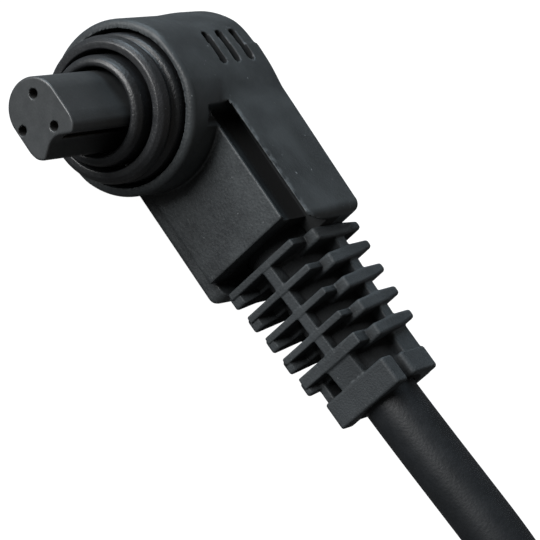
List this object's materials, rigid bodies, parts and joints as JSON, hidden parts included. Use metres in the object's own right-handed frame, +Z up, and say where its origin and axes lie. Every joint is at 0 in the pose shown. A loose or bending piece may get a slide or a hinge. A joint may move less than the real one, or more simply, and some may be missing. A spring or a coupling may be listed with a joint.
{
  "type": "remote shutter release cable",
  "caption": "Wired remote shutter release: right-angle locking plug with a ribbed strain relief, cord tied in a hank, and a slim handset with a two-stage button and a hold slider.",
  "frame": {"origin": "middle of the bottom of the plug and handset, on the surface they lie on", "axes": "+X along the cord from the plug to the handset, -Y the way the plug's nose points, +Z up"},
  "size_m": [0.2606, 0.026, 0.0174],
  "materials": {
    "body_plastic": "black moulded plastic with a fine spark-eroded grain",
    "nose_plastic": "dark grey satin insulator plastic",
    "ring_plastic": "black satin plastic, worn smooth on its rims",
    "boot_rubber": "black moulded flexible vinyl",
    "cord_jacket": "black vinyl jacket with a soft sheen",
    "tie_nylon": "black woven hook-and-loop strap",
    "handset_plastic": "black moulded plastic with a fine grain",
    "button_plastic": "grey satin plastic",
    "contact_brass": "plated brass",
    "spring_steel": "nickel-plated steel",
    "insulator": "natural nylon",
    "red_wire": "red wire insulation",
    "white_wire": "white wire insulation",
    "yellow_wire": "yellow wire insulation"
  },
  "bodies": {
    "remote": {"plug_body": "body_plastic", "nose_insulator": "nose_plastic", "collar_lip": "ring_plastic", "sleeve_spring": "spring_steel", "strain_relief_boot": "boot_rubber", "cord_ferrule": "spring_steel", "contact_socket_1": "contact_brass", "contact_socket_2": "contact_brass", "contact_socket_3": "contact_brass", "plug_wire_1": "red_wire", "plug_wire_2": "white_wire", "plug_wire_3": "yellow_wire", "cord_run_plug": "cord_jacket", "cord_hank": "cord_jacket", "hank_tie": "tie_nylon", "cord_run_handset": "cord_jacket", "handset_base": "handset_plastic", "handset_cover": "handset_plastic", "switch_block": "insulator", "common_leaf": "contact_brass", "focus_leaf": "contact_brass", "shutter_leaf": "contact_brass", "handset_wire_1": "red_wire", "handset_wire_2": "white_wire", "handset_wire_3": "yellow_wire", "cord_grommet": "boot_rubber", "cord_clamp": "spring_steel", "case_screw_1": "spring_steel", "case_screw_2": "spring_steel", "case_screw_3": "spring_steel", "case_screw_4": "spring_steel", "clamp_screw_1": "spring_steel", "block_screw_1": "spring_steel", "clamp_screw_2": "spring_steel", "block_screw_2": "spring_steel"},
    "lock_sleeve": {"lock_sleeve": "ring_plastic"},
    "button": {"shutter_button": "button_plastic"},
    "slider": {"hold_slider": "button_plastic"}
  },
  "joints": [
    {"name": "lock_sleeve_slide", "type": "slide", "parent": "remote", "child": "lock_sleeve", "axis": [0, 1, 0], "range_m": [0, 0.0012], "stiffness_N_per_m": 800, "springref_m": -0.001, "deforming": ["sleeve_spring"]},
    {"name": "shutter_button_press", "type": "slide", "parent": "remote", "child": "button", "axis": [0, 0, -1], "range_m": [0, 0.0022], "stiffness_N_per_m": 700, "springref_m": -0.0006, "deforming": ["common_leaf", "focus_leaf", "shutter_leaf"]},
    {"name": "hold_slider_slide", "type": "slide", "parent": "remote", "child": "slider", "axis": [1, 0, 0], "range_m": [0, 0.005]}
  ]
}
